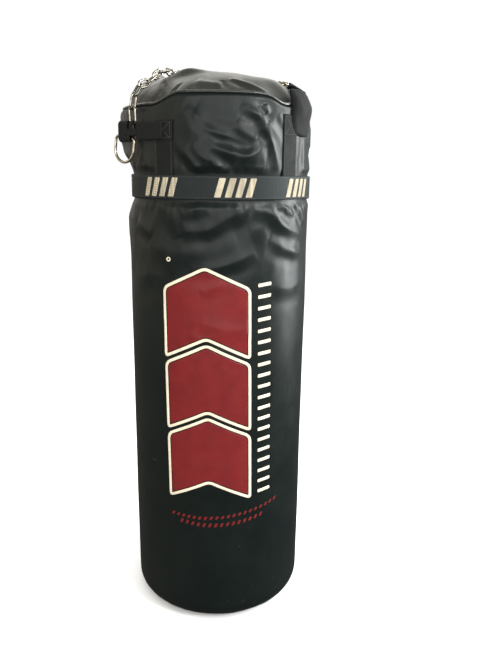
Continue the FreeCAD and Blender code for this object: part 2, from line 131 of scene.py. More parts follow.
def fold(u, v, points, height, above, below):
    """The height at (u, v) of one fold of vinyl along a line: a crest that fades at its two
    ends, with its own width on each side and a shallow valley below."""
    line = curve_through(points)
    reach = 3.2 * max(above, below)
    near = ((u > line[:, 0].min() - reach) & (u < line[:, 0].max() + reach)
            & (v > line[:, 1].min() - reach) & (v < line[:, 1].max() + reach))
    result = np.zeros(u.shape)
    if not near.any():
        return result
    x, y = u[near], v[near]
    best = np.full(x.shape, 1e9)
    side = np.zeros(x.shape)
    place = np.zeros(x.shape)
    for i, (start, end) in enumerate(zip(line, line[1:])):
        run = end - start
        length = run @ run
        t = np.clip(((x - start[0]) * run[0] + (y - start[1]) * run[1]) / length, 0, 1)
        dx, dy = x - start[0] - t * run[0], y - start[1] - t * run[1]
        far = dx * dx + dy * dy
        closer = far < best
        best[closer] = far[closer]
        side[closer] = (run[0] * dy - run[1] * dx)[closer]
        place[closer] = (i + t)[closer] / (len(line) - 1)
    away = np.sqrt(best)
    width = np.where(side > 0, above, below)
    crest = np.exp(-((away / width) ** 1.6))
    valley = 0.35 * np.exp(-(((away - 1.9 * below) / below) ** 2)) * (side < 0)
    fade = np.sin(np.pi * np.clip(place, 0.0, 1.0)) ** 0.6
    result[near] = height * (crest - valley) * fade
    return result


# ---- the bag's skin
# Each fold: height, width above and below in mm, then its line as (angle, height).
FRONT_FOLDS = (
    (3.2, 15, 13, ((-34, 1.006), (-20, 0.968), (-8, 0.930), (0, 0.905))),
    (2.6, 14, 12, ((-12, 1.012), (2, 0.992), (14, 0.985), (24, 0.990))),
    (2.4, 13, 12, ((4, 0.922), (16, 0.912), (27, 0.908))),
    (2.4, 16, 14, ((-40, 0.842), (-20, 0.826), (-2, 0.836), (12, 0.850))),
    (2.2, 17, 15, ((-46, 0.770), (-26, 0.762), (-8, 0.772), (10, 0.790))),
    (2.2, 15, 13, ((18, 0.800), (30, 0.812), (44, 0.840))),
    (4.6, 9, 7, ((-24, 1.018), (-14, 0.978), (-4, 0.949), (6, 0.936), (17, 0.931), (25, 0.944),
                 (31, 0.960))),
    (2.8, 6, 5, ((-18, 1.011), (-12, 0.995), (-8, 0.978), (-1, 0.968), (6, 0.962), (17, 0.948))),
    (3.0, 6, 5, ((-29, 0.968), (-22, 0.941), (-15, 0.919), (-11, 0.897))),
    (3.2, 7, 6, ((-15, 0.948), (-8, 0.932), (-1, 0.915), (5, 0.898))),
    (4.2, 6, 5, ((12, 1.014), (19, 1.005), (24, 0.996), (28, 0.972), (32, 0.950), (35, 0.926),
                 (38, 0.900))),
    (2.2, 4, 4, ((26, 1.020), (28.5, 1.004))),
    (2.6, 5, 5, ((36, 1.012), (40, 1.004), (44, 0.992))),
    (2.2, 7, 6, ((8, 0.982), (14, 0.969), (21, 0.958))),
    (3.0, 8, 7, ((28, 0.988), (35, 0.969), (40, 0.952))),
    (2.6, 8, 6, ((-54, 0.928), (-46, 0.913), (-40, 0.901))),
    (2.0, 5, 5, ((55, 0.968), (55, 0.932))),
    (2.4, 5, 5, ((61, 0.966), (63, 0.902))),
    (2.6, 10, 9, ((-31, 0.853), (-28, 0.827), (-23, 0.788))),
    (2.4, 10, 8, ((-22, 0.799), (-6, 0.803), (5, 0.824), (17, 0.838))),
    (3.4, 8, 7, ((19, 0.838), (32, 0.830), (41, 0.808), (61, 0.788))),
    (3.0, 5, 5, ((38, 0.853), (43, 0.840), (51, 0.826))),
    (2.8, 5, 5, ((54, 0.852), (59, 0.831), (65, 0.808))),
    (2.2, 8, 7, ((-17, 0.728), (-2, 0.735), (9, 0.746), (22, 0.762))),
    (2.6, 9, 7, ((31, 0.783), (46, 0.764), (62, 0.752))),
    (2.4, 8, 7, ((-58, 0.813), (-43, 0.790))),
    (2.0, 8, 6, ((-22, 0.829), (-7, 0.847))),
    (1.8, 9, 8, ((-12, 0.633), (5, 0.621), (20, 0.618))),
    (1.4, 7, 6, ((-17, 0.613), (-11, 0.601), (0, 0.608), (8, 0.614))),
    (1.4, 7, 6, ((-11, 0.689), (3, 0.708))),
    (1.6, 10, 9, ((30, 0.700), (48, 0.690), (64, 0.699))),
    (1.3, 12, 10, ((-60, 0.700), (-44, 0.716), (-30, 0.709))),
)


def side_folds():
    """Folds of the same kind for the sides and the back, drawn from a fixed seed."""
    draw = random.Random(SEED)
    found = []
    for _ in range(46):
        middle = draw.uniform(75, 285)
        upper = draw.random() < 0.62
        height = draw.uniform(0.915, 1.005) if upper else draw.uniform(0.66, 0.845)
        spread = draw.uniform(7, 17)
        tilt = draw.choice((-1, 1)) * draw.uniform(0.006, 0.03)
        sag = draw.uniform(-0.012, 0.004)
        size = draw.uniform(2.0, 4.0) if upper else draw.uniform(1.2, 2.6)
        width = draw.uniform(8, 16)
        line = ((middle - spread, height + tilt), (middle - spread / 3, height + sag),
                (middle + spread / 3, height + sag), (middle + spread, height - tilt))
        found.append((size, width, width * 0.8, line))
    return found


SIDE_FOLDS = side_folds()


def on_surface(line):
    """A line of (angle, height) in millimetres along and up the surface."""
    return [(math.radians(p) * BAG_RADIUS / MM, q / MM) for p, q in line]


def seam_drop(degrees):
    """How far the straps' pull draws the top seam down."""
    a = wrap(degrees)
    left = smooth_step(-a, 22, 42) * (1 - smooth_step(-a, 95, 135))
    return (0.002 + 0.017 * left + 0.014 * hump(a, 42, 10) + 0.005 * smooth_step(a, 40, 60)
            * (1 - smooth_step(a, 100, 140)))


def seam_out(degrees):
    """How far the full left shoulder carries the top seam outwards."""
    return SEAM_PUSH * hump(wrap(degrees), -94, 25)


def cinch(degrees, height):
    """How far the band draws the left side of the bag in."""
    below = smooth_step(height, 0.812, BAND_LOW - 0.002)
    above = 1 - smooth_step(height, BAND_HIGH + 0.002, 0.940)
    return BAND_CINCH * hump(wrap(degrees), -88, 22) * below * above


def skin_radius(degrees, height):
    """The skin's distance from the bag's axis."""
    a = wrap(degrees)
    z = np.asarray(height, float)
    u, v = np.broadcast_arrays(np.radians(a) * BAG_RADIUS / MM, z / MM)
    relief = np.zeros(u.shape)
    for size, above, below, line in FRONT_FOLDS:
        relief += fold(u, v, on_surface(line), size * FOLD_SIZE, above * FOLD_WIDTH,
                       below * FOLD_WIDTH)
    round_u = np.radians(a % 360) * BAG_RADIUS / MM
    for size, above, below, line in SIDE_FOLDS:
        relief += fold(round_u, v, on_surface(line), size, above, below)
    upper = smooth_step(z, 0.60, 0.86)
    relief += waves(a, z, 3, 7, (2, 9), (-40, 40)) * (0.35 + 0.95 * upper)
    relief += waves(a, z, 5, 9, (12, 34), (-90, 90)) * 0.50 * upper
    pucker = hump(z, BAND_LOW - 0.012, 0.011) + hump(z, BAND_HIGH + 0.012, 0.011)
    relief += waves(a, z * 0, 9, 6, (38, 74), (0, 0)) * 0.55 * pucker
    for middle in STRAP_ANGLES.values():
        under = hump(wrap(a - middle), 0, 7.5) ** 0.5 * smooth_step(z, BAND_LOW, BAND_HIGH)
        relief = relief * (1 - np.clip(under * 1.3, 0, 1)) - 0.5 * under
    at_band = smooth_step(z, BAND_LOW - 0.016, BAND_LOW)
    at_band = at_band * (1 - smooth_step(z, BAND_HIGH, BAND_HIGH + 0.016))
    relief = relief * (1 - at_band) - PINCH / MM * at_band
    waist = hump(z, 0.66, 0.22) * 0.6 - smooth_step(-z, -0.20, -0.04) * 0.9
    relief += waist
    relief += SIDE_BULGE / MM * hump(a, -90, 18) * hump(z, 0.975, 0.045)
    relief += seam_out(a) / MM * smooth_step(z, 0.965, 1.026)
    crowded = 1 - hump(a, -54, 11)
    limit = 2.2 + 5.5 * hump(a, 5, 36) * crowded + 11.5 * hump(a, -92, 19)
    relief = np.where(z > BAND_HIGH, np.minimum(relief, limit), relief)
    return BAG_RADIUS + np.maximum(relief, -PINCH / MM) * MM - cinch(a, z)


def skin_place(degrees, height, lift=0.0):
    """Points on the skin, or just proud of it, with the pull of the seam in their height."""
    z = np.asarray(height, float)
    pull = seam_drop(degrees) * smooth_step(z, 0.945, SEAM_HEIGHT)
    return round_bag(degrees, skin_radius(degrees, z) + lift, z - pull)


# ---- meshes
def show(thing):
    bpy.context.scene.collection.objects.link(thing)
    return thing


def finish_piece(piece, material, body):
    mesh = piece.data
    mesh.polygons.foreach_set("use_smooth", [True] * len(mesh.polygons))
    mesh.materials.clear()
    mesh.materials.append(material)
    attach(piece, body)
    return piece


def new_piece(name, points, faces, material):
    mesh = bpy.data.meshes.new(name)
    mesh.from_pydata([tuple(p) for p in points], [], [tuple(f) for f in faces])
    mesh.validate()
    return finish_piece(show(bpy.data.objects.new(name, mesh)), material, "bag")


def rings(name, rows, material, cap_ends=(), closed=False):
    """A skin from rings of points, bottom to top, with a fan at the ends that need one. When it
    is closed, the last ring joins the first."""
    columns = len(rows[0])
    points = [p for row in rows for p in row]
    faces = []
    for i in range(len(rows) - (not closed)):
        low, high = i * columns, (i + 1) % len(rows) * columns
        for j in range(columns):
            k = (j + 1) % columns
            faces.append((low + j, low + k, high + k, high + j))
    if "first" in cap_ends:
        points.append(np.mean(rows[0], axis=0))
        faces += [((j + 1) % columns, j, len(points) - 1) for j in range(columns)]
    if "last" in cap_ends:
        points.append(np.mean(rows[-1], axis=0))
        top = (len(rows) - 1) * columns
        faces += [(top + j, top + (j + 1) % columns, len(points) - 1) for j in range(columns)]
    return new_piece(name, points, faces, material)


def add_uv(piece, pairs):
    """A UV map in metres, one pair for each vertex."""
    layer = piece.data.uv_layers.new(name="weave")
    index = np.zeros(len(piece.data.loops), np.int32)
    piece.data.loops.foreach_get("vertex_index", index)
    layer.data.foreach_set("uv", np.asarray(pairs, float)[index].ravel())


# ---- materials
def new_material(name):
    """A material with its node tree, its shader and coordinates in metres."""
    material = bpy.data.materials.new(name)
    material.use_nodes = True
    tree = material.node_tree
    coords = node(tree, "ShaderNodeTexCoord").outputs["Object"]
    return material, tree, tree.nodes["Principled BSDF"], coords


def connect(tree, made, inputs):
    """Links or sets a node's inputs."""
    for name, value in inputs.items():
        if isinstance(value, bpy.types.NodeSocket):
            tree.links.new(value, made.inputs[name])
        else:
            made.inputs[name].default_value = value


def node(tree, kind, inputs=None, **settings):
    made = tree.nodes.new(kind)
    for key, value in settings.items():
        setattr(made, key, value)
    connect(tree, made, inputs or {})
    return made


def ramp(tree, factor, stops):
    """A colour for each factor, between stops whose colour is a triple or one grey."""
    made = node(tree, "ShaderNodeValToRGB", {"Fac": factor})
    elements = made.color_ramp.elements
    while len(elements) < len(stops):
        elements.new(0.5)
    for element, (place, colour) in zip(elements, stops):
        element.position = place
        element.color = (*colour, 1) if isinstance(colour, tuple) else (colour,) * 3 + (1,)
    return made.outputs["Color"]


def noise(tree, coords, scale, detail=3.0, rough=0.5, distortion=0.0):
    return node(tree, "ShaderNodeTexNoise", {
        "Vector": coords, "Scale": scale, "Detail": detail, "Roughness": rough,
        "Distortion": distortion}).outputs["Fac"]


def times(tree, a, b, operation="MULTIPLY"):
    return node(tree, "ShaderNodeMath", {0: a, 1: b}, operation=operation).outputs[0]


def blend_colours(tree, factor, first, second):
    made = node(tree, "ShaderNodeMix", {"Factor": factor, "A": first, "B": second},
                data_type="RGBA")
    return made.outputs["Result"]


def bump(tree, height, strength, distance, onto=None):
    inputs = {"Height": height, "Strength": strength, "Distance": distance}
    if onto is not None:
        inputs["Normal"] = onto
    return node(tree, "ShaderNodeBump", inputs).outputs["Normal"]


def vinyl(name, dark, light, rough=(0.26, 0.40), specular=0.30, scuffs=0.0):
    """Glossy synthetic leather: fine grain, cloudy gloss, creases of wear and a few scratches."""
    material, tree, shader, coords = new_material(name)
    clouds = noise(tree, coords, 9, 4, 0.55)
    colour = ramp(tree, clouds, [(0.32, dark), (0.72, light)])
    fine = noise(tree, coords, 260, 3, 0.6)
    gloss = ramp(tree, noise(tree, coords, 26, 5, 0.6, 0.3),
                 [(0.3, rough[0]), (0.75, rough[1])])
    if scuffs:
        stretched = node(tree, "ShaderNodeMapping", {"Vector": coords, "Scale": (1, 1, 3.2),
                                                     "Rotation": (0.5, 0.3, 0)}).outputs["Vector"]
        lines = noise(tree, stretched, 55, 6, 0.72, 0.8)
        place = noise(tree, coords, 5, 2)
        worn = times(tree, ramp(tree, lines, [(0.66, 0), (0.72, 1)]),
                     ramp(tree, place, [(0.52, 0), (0.66, scuffs)]))
        colour = blend_colours(tree, worn, colour, (0.30, 0.31, 0.29, 1))
    cells = node(tree, "ShaderNodeTexVoronoi", {"Vector": coords, "Scale": 620, "Randomness": 1.0},
                 feature="F1").outputs["Distance"]
    grain = bump(tree, cells, 0.16, 0.0004)
    crinkle = bump(tree, noise(tree, coords, 48, 4, 0.6, 0.4), 0.10, 0.0022, grain)
    connect(tree, shader, {"Base Color": colour, "Roughness": gloss,
                           "Specular IOR Level": specular,
                           "Normal": bump(tree, fine, 0.06, 0.0006, crinkle)})
    return material


def print_ink(name, colour, second):
    """Screen print: flat ink with faint mottling and hairline cracks, over the vinyl's grain."""
    material, tree, shader, coords = new_material(name)
    base = ramp(tree, noise(tree, coords, 34, 5, 0.6), [(0.30, second), (0.62, colour)])
    cracks = node(tree, "ShaderNodeTexVoronoi", {"Vector": coords, "Scale": 120},
                  feature="DISTANCE_TO_EDGE")
    worn = times(tree, ramp(tree, cracks.outputs["Distance"], [(0.0, 1), (0.012, 0)]),
                 ramp(tree, noise(tree, coords, 12, 2), [(0.55, 0), (0.72, 0.5)]))
    mixed = blend_colours(tree, worn, base, (0.02, 0.022, 0.022, 1))
    gloss = ramp(tree, noise(tree, coords, 60, 4), [(0.3, 0.34), (0.7, 0.46)])
    cells = node(tree, "ShaderNodeTexVoronoi", {"Vector": coords, "Scale": 620}).outputs["Distance"]
    connect(tree, shader, {"Base Color": mixed, "Roughness": gloss, "Specular IOR Level": 0.16,
                           "Normal": bump(tree, cells, 0.10, 0.0003)})
    return material


YARN_PITCH = 1.6 * MM


def webbing(name, dark, light, mapped=True, rough=(0.62, 0.82), sheen=0.0):
    """Woven polyester tape: ribs of yarn across it, a finer twill along it, fuzz and dust."""
    material, tree, shader, position = new_material(name)
    coords = position
    if mapped:
        coords = node(tree, "ShaderNodeUVMap", uv_map="weave").outputs["UV"]
    per_metre = 1 / YARN_PITCH
    ribs = node(tree, "ShaderNodeTexWave", {"Vector": coords, "Scale": per_metre / 6.28,
                                            "Distortion": 0.6, "Detail": 1.0, "Detail Scale": 2.0},
                wave_type="BANDS", bands_direction="Y").outputs["Fac"]
    warp = node(tree, "ShaderNodeTexWave", {"Vector": coords, "Scale": per_metre / 4.2,
                                            "Distortion": 0.4}, wave_type="BANDS",
                bands_direction="DIAGONAL").outputs["Fac"]
    weave = times(tree, ribs, warp, "MAXIMUM")
    dust = noise(tree, position, 22, 4, 0.6)
    shade = times(tree, weave, dust, "MULTIPLY")
    fuzz = bump(tree, noise(tree, position, 900, 2), 0.12, 0.0004)
    connect(tree, shader, {"Base Color": ramp(tree, shade, [(0.1, dark), (0.62, light)]),
                           "Roughness": ramp(tree, dust, [(0.3, rough[0]), (0.7, rough[1])]),
                           "Normal": bump(tree, weave, 0.55, 0.0005, fuzz),
                           "Sheen Weight": sheen, "Sheen Roughness": 0.5,
                           "Specular IOR Level": 0.15})
    return material


def metal(name, colour, dull, rough=(0.16, 0.34)):
    """Plated steel: bright, with cloudy dull patches, fine scratches and darker pits."""
    material, tree, shader, coords = new_material(name)
    patches = noise(tree, coords, 70, 5, 0.6)
    stretched = node(tree, "ShaderNodeMapping", {"Vector": coords, "Scale": (1, 1, 7)})
    scratches = noise(tree, stretched.outputs["Vector"], 140, 6, 0.7)
    pits = bump(tree, patches, 0.10, 0.0008)
    connect(tree, shader, {"Base Color": ramp(tree, patches, [(0.34, dull), (0.60, colour)]),
                           "Roughness": ramp(tree, scratches, [(0.3, rough[0]), (0.75, rough[1])]),
                           "Normal": bump(tree, scratches, 0.10, 0.0003, pits), "Metallic": 1.0})
    return material


def soft_fill(name, dark, light, scale, height=0.003):
    """A matt fill: felt, foam or canvas."""
    material, tree, shader, coords = new_material(name)
    colour = ramp(tree, noise(tree, coords, scale, 6, 0.65), [(0.3, dark), (0.7, light)])
    rough = bump(tree, noise(tree, coords, scale * 3, 5, 0.6), 0.5, height)
    connect(tree, shader, {"Base Color": colour, "Normal": rough, "Roughness": 0.92,
                           "Sheen Weight": 0.2})
    return material


def thread(name, colour, second):
    """Twisted sewing thread."""
    material, tree, shader, coords = new_material(name)
    colour = ramp(tree, noise(tree, coords, 700, 3), [(0.35, second), (0.65, colour)])
    connect(tree, shader, {"Base Color": colour, "Roughness": 0.6})
    return material


BLACK_YARN = ((0.0012, 0.0014, 0.0014), (0.0062, 0.0068, 0.0066))
BAND_YARN = ((0.0030, 0.0050, 0.0050), (0.0110, 0.0148, 0.0148))
CREAM_YARN = ((0.150, 0.128, 0.090), (0.330, 0.290, 0.210))

MATERIALS = {
    "skin": vinyl("vinyl_skin", (0.0014, 0.0034, 0.0029), (0.0030, 0.0056, 0.0049),
                  (0.33, 0.47), 0.22, 0.7),
    # The crown's copy of the black vinyl is painted lighter and warmer than the wall's: painted
    # light for the top that faces the lamps above.
    "cap": vinyl("vinyl_cap_painted_light", (0.0075, 0.0085, 0.0070), (0.0150, 0.0160, 0.0130),
                 (0.36, 0.50), 0.32),
    # The piping's copy of the black vinyl is painted lighter than the wall's: painted light for the
    # seam's ridge catching the lamps above.
    "welt": vinyl("vinyl_welt_painted_light", (0.0060, 0.0070, 0.0066), (0.0110, 0.0125, 0.0115),
                  (0.24, 0.34), 0.55),
    "red": print_ink("ink_red", (0.108, 0.0060, 0.0066), (0.088, 0.0050, 0.0056)),
    "cream": print_ink("ink_cream", (0.50, 0.445, 0.34), (0.41, 0.365, 0.275)),
    "band": webbing("band_weave", *BAND_YARN, rough=(0.46, 0.62)),
    "band_cream": webbing("band_cream_yarn", *CREAM_YARN, mapped=False),
    "webbing": webbing("black_tape", *BLACK_YARN, sheen=0.02),
    "tape": webbing("black_tape_folded", *BLACK_YARN, mapped=False, sheen=0.02),
    "zinc": metal("zinc_plate", (0.40, 0.37, 0.31), (0.13, 0.12, 0.10)),
    "nickel": metal("nickel_plate", (0.50, 0.45, 0.37), (0.22, 0.19, 0.15), (0.14, 0.28)),
    "swivel": metal("swivel_plate", (0.50, 0.50, 0.48), (0.26, 0.25, 0.23), (0.22, 0.40)),
    "foam": soft_fill("felted_foam", (0.26, 0.26, 0.25), (0.42, 0.42, 0.39), 90),
    "fibre": soft_fill("shredded_fibre", (0.20, 0.18, 0.17), (0.52, 0.47, 0.42), 60, 0.006),
    "sack": soft_fill("canvas_sack", (0.40, 0.35, 0.27), (0.60, 0.54, 0.44), 240, 0.001),
    "thread": thread("black_thread", (0.055, 0.056, 0.054), (0.022, 0.022, 0.022)),
}


# ---- the skin, base and crown
def seam_relief():
    """What the folds add to the skin's radius where its shoulder starts."""
    return skin_radius(ROUND, SEAM_HEIGHT - SHOULDER) - BAG_RADIUS - seam_out(ROUND)


def corner_height(turn):
    return BASE_CORNER * (1 - math.cos(turn))


def make_skin():
    """The wall, from the seam half way round the base corner up to the top seam."""
    rows = []
    corner = BAG_RADIUS - BASE_CORNER
    folds = skin_radius(ROUND, BASE_CORNER) - BAG_RADIUS
    for slope in np.linspace(45, 85, 12):
        turn = math.radians(slope)
        tuck = 0.0010 * hump(slope, 45, 2.5)
        radius = corner + BASE_CORNER * math.sin(turn) - tuck + folds * smooth_step(slope, 45, 90)
        rows.append(round_bag(ROUND, radius, corner_height(turn)))
    heights = [*np.linspace(BASE_CORNER, 0.56, 96, endpoint=False),
               *np.linspace(0.56, SEAM_HEIGHT - SHOULDER, 236)]
    for height in heights:
        rows.append(skin_place(ROUND, height))
    relief = seam_relief()
    for rise in np.linspace(12, 100, 9):
        turn = math.radians(rise)
        rolled = SEAM_RADIUS + SHOULDER * math.cos(turn)
        radius = rolled + relief * (1 - rise / 110) + seam_out(ROUND)
        height = SEAM_HEIGHT - SHOULDER * (1 - math.sin(turn)) - seam_drop(ROUND)
        rows.append(round_bag(ROUND, radius, height))
    skin = rings("shell_skin", rows, MATERIALS["skin"])
    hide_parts("shell_wall")


def make_base():
    """The round bottom panel, a little dished, up to the seam half way round the corner."""
    corner = BAG_RADIUS - BASE_CORNER
    rows = []
    for radius in np.linspace(0.012, corner, 14, endpoint=False):
        dish = 0.0008 * smooth_step(radius, corner - 0.03, corner)
        uneven = (1 + waves(ROUND, 0, 21, 5, (3, 9), (0, 0))) / 2
        rows.append(round_bag(ROUND, radius, dish * uneven))
    for slope in np.linspace(0, 45, 12):
        turn = math.radians(slope)
        tuck = 0.0012 * hump(slope, 45, 2.5)
        uneven = 0.0004 * waves(ROUND, 0, 22, 6, (3, 14), (0, 0)) * slope / 45
        radius = corner + BASE_CORNER * math.sin(turn) - tuck + uneven
        rows.append(round_bag(ROUND, radius, corner_height(turn)))
    base = rings("base_skin", rows, MATERIALS["skin"], cap_ends=("first",))
    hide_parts("base_panel")


# Each fold of the crown: height, width on its two sides, then its line as (x, y), all in mm.
CAP_FOLDS = (
    (4.0, 6, 6, ((20, -118), (46, -134), (66, -140), (92, -140))),
    (-3.0, 4, 4, ((-66, -118), (-78, -136), (-86, -146))),
    (2.2, 9, 9, ((-40, -126), (-20, -140), (4, -146))),
    (-1.8, 5, 5, ((4, -128), (12, -156))),
)


def crown_height(degrees, radius):
    """The crown's height: the CAD dome with pleats, drawn down at its rim with the seam, and
    fuller at the left, at the front right and in front of the chain."""
    half = SEAM_RADIUS
    rise = CROWN_HEIGHT - SEAM_HEIGHT
    dome = (half * half + rise * rise) / (2 * rise)
    height = CROWN_HEIGHT - dome + np.sqrt(dome * dome - radius * radius)
    share = np.clip(radius / half, 0, 1)
    height = height - seam_drop(degrees) * share**6 - 0.0004
    pleats = waves(degrees, 0 * degrees, 31, 9, (18, 52), (0, 0)) * 0.0011 * share**9
    broad = waves(degrees, radius, 33, 5, (3, 7), (20, 60)) * 0.0012 * share**2
    rest = np.minimum(pleats + broad, 0.0002)
    rim = 1 - smooth_step(radius, 0.156, SEAM_RADIUS)
    rest += LEFT_RISE * hump(wrap(degrees), -104, 31) * smooth_step(radius, 0.092, 0.123) * rim
    rest += RIGHT_RISE * hump(wrap(degrees), 52, 24) * hump(radius, 0.128, 0.030) * rim
    front = round_bag(degrees, radius, 0)
    rest += FRONT_RISE * hump(front[..., 0], -0.062, 0.034) * hump(front[..., 1], -0.054, 0.020)
    ridges = np.zeros(np.shape(degrees))
    for size, above, below, line in CAP_FOLDS:
        ridges += fold(front[..., 0] / MM, front[..., 1] / MM, line, size, above, below) * MM
    return height + rest + ridges


def make_cap():
    rows = []
    for depth in np.linspace(1, 0, 4, endpoint=False):
        height = crown_height(ROUND, SEAM_RADIUS + 0 * ROUND) - 0.0016 * depth
        rows.append(round_bag(ROUND, SEAM_RADIUS + 0.0016 + seam_out(ROUND), height))
    for share in np.linspace(1, 0.04, 64):
        radius = (SEAM_RADIUS + 0.0012) * share
        height = crown_height(ROUND, np.minimum(radius, SEAM_RADIUS) + 0 * ROUND)
        height = height - 0.0008 * hump(share, 1, 0.012)
        rows.append(round_bag(ROUND, radius + seam_out(ROUND) * share**4, height))
    # The crown takes the copy of the vinyl painted lighter, as painted light from above.
    cap = rings("crown_skin", rows, MATERIALS["cap"], cap_ends=("last",))
    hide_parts("top_cap")


def make_welt():
    """Piping sewn into the top seam, a little lumpy over its cord."""
    lump = 1 + 0.05 * waves(ROUND, 0, 41, 8, (30, 90), (0, 0))
    thick = WELT_RADIUS * 0.82 * lump
    centre_radius = SEAM_RADIUS + 0.0040 + seam_relief() * 0.35 + seam_out(ROUND)
    centre_height = SEAM_HEIGHT + 0.0012 - seam_drop(ROUND)
    rows = []
    for turn in np.linspace(0, 2 * math.pi, 14, endpoint=False):
        rows.append(round_bag(ROUND, centre_radius + thick * math.cos(turn),
                              centre_height + thick * math.sin(turn)))
    # The piping takes the copy of the vinyl painted lighter, as painted light on the seam's ridge.
    welt = rings("welt_piping", rows, MATERIALS["welt"], closed=True)
    weld(welt)
    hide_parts("top_welt")


def weld(piece, distance=1e-6):
    work = bmesh.new()
    work.from_mesh(piece.data)
    bmesh.ops.remove_doubles(work, verts=work.verts, dist=distance)
    bmesh.ops.recalc_face_normals(work, faces=work.faces)
    work.to_mesh(piece.data)
    work.free()


# ---- printed graphics
def inset_corners(corners, inset):
    """The corners of a polygon, drawn anticlockwise, after its edges move in by the inset."""
    moved = []
    count = len(corners)
    for i in range(count):
        before, here, after = (Vector(corners[(i + k) % count]) for k in (-1, 0, 1))
        first, second = (here - before).normalized(), (after - here).normalized()
        inward_a, inward_b = Vector((-first.y, first.x)), Vector((-second.y, second.x))
        spread = 1 + inward_a.dot(inward_b)
        moved.append(here + (inward_a + inward_b) * (inset / max(spread, 0.2)))
    return moved


def rounded(corners, radii, inset=0.0):
    """A polygon's outline after an inset, with each corner turned on an arc."""
    moved = inset_corners(corners, inset)
    outline = []
    count = len(moved)
    for i, (here, radius) in enumerate(zip(moved, radii)):
        before, after = moved[i - 1], moved[(i + 1) % count]
        back, on = (before - here).normalized(), (after - here).normalized()
        turn = back.cross(on)
        radius = max(radius - inset, 0.4) if turn < 0 else radius + inset
        half = math.acos(max(-1, min(1, back.dot(on)))) / 2
        shorter = min((before - here).length, (after - here).length)
        reach = min(radius / math.tan(half), 0.48 * shorter)
        start, end = here + back * reach, here + on * reach
        for t in np.linspace(0, 1, 9):
            outline.append(start * (1 - t) ** 2 + here * 2 * t * (1 - t) + end * t**2)
    return outline


def decal(name, loops, place, material, cell=3.0, thick=0.30, lift=0.32):
    """A thin layer on the bag with this outline, in millimetres along and up the surface.
    Later loops are holes. It is cut into small cells so that it follows every fold."""
    work = bmesh.new()
    for loop in loops:
        corners = [work.verts.new((p[0], p[1], 0)) for p in loop]
        for a, b in zip(corners, corners[1:] + corners[:1]):
            work.edges.new((a, b))
    bmesh.ops.triangle_fill(work, edges=work.edges[:], use_beauty=True)
    for axis in (0, 1):
        values = [v.co[axis] for v in work.verts]
        line = math.floor(min(values) / cell) * cell + cell
        while line < max(values):
            centre, normal = [0, 0, 0], [0, 0, 0]
            centre[axis], normal[axis] = line, 1
            everything = work.verts[:] + work.edges[:] + work.faces[:]
            bmesh.ops.bisect_plane(work, geom=everything, plane_co=centre, plane_no=normal,
                                   dist=1e-4)
            line += cell
    bmesh.ops.remove_doubles(work, verts=work.verts, dist=0.02)
    flat = np.array([v.co[:2] for v in work.verts])
    solid = place(np.degrees(flat[:, 0] * MM / BAG_RADIUS), flat[:, 1] * MM, lift * MM)
    for vert, point in zip(work.verts, solid):
        vert.co = point
    bmesh.ops.recalc_face_normals(work, faces=work.faces)
    if sum(f.normal.dot(radial(f.calc_center_median())) for f in work.faces) < 0:
        bmesh.ops.reverse_faces(work, faces=work.faces)
    rim = [e for e in work.edges if e.is_boundary]
    grown = bmesh.ops.extrude_edge_only(work, edges=rim)["geom"]
    for vert in (g for g in grown if isinstance(g, bmesh.types.BMVert)):
        vert.co -= radial(vert.co) * thick * MM
    mesh = bpy.data.meshes.new(name)
    work.to_mesh(mesh)
    work.free()
    finish_piece(show(bpy.data.objects.new(name, mesh)), material, "bag")


GRAPHIC_LEAN = math.tan(math.radians(-0.9))
GRAPHIC_LEFT, GRAPHIC_RIGHT = -106.0, 63.0
GRAPHIC_LOW, GRAPHIC_HIGH = 273.0, 737.0
OUTLINE, INLINE = 5.5, 1.8
ARROW_RISE, ARROW_GAP = 40.0, 7.0
ARROW_CORNERS = (7, 16, 7, 20, 20, 20)
DASHES, DASH_COLUMN, DASH_LOW, DASH_PITCH = 20, 91.0, 284, 21.8
DASH_HALF, DASH_TALL, DASH_SLOPE = 14, 6.5, 2.5
# Rows of ticks: how many, first and last place, height at the left, middle and right, size.
TICK_ROWS = ((20, -98, 126, 239, 240, 260, 6.5), (15, -79, 92, 226, 223, 235, 8.0))
TICK_WIDTH, TICK_SLANT = 5.2, 3.2
DOT_PLACE, DOT_OUTER, DOT_INNER = (-94, 748), 4.2, 2.2


def lean(points):
    """The whole graphic leans a little, bottom to the right."""
    middle = (GRAPHIC_LOW + GRAPHIC_HIGH) / 2
    return [(x + (y - middle) * GRAPHIC_LEAN, y) for x, y in points]


def slanted(left, low, width, tall, slant=0.0, rise=0.0):
    """The corners of a bar that slants to the right and may climb to the right."""
    return ((left, low), (left + width, low + rise), (left + width + slant, low + rise + tall),
            (left + slant, low + tall))


def emblem(name, corners, radii):
    """A red shape with a cream outline and a thin dark line of bare vinyl between them."""
    corners = lean(corners)
    outer, inner = rounded(corners, radii), rounded(corners, radii, OUTLINE)
    fill = rounded(corners, radii, OUTLINE + INLINE)
    decal(f"{name}_outline", [outer, inner], skin_place, MATERIALS["cream"])
    decal(f"{name}_fill", [fill], skin_place, MATERIALS["red"])


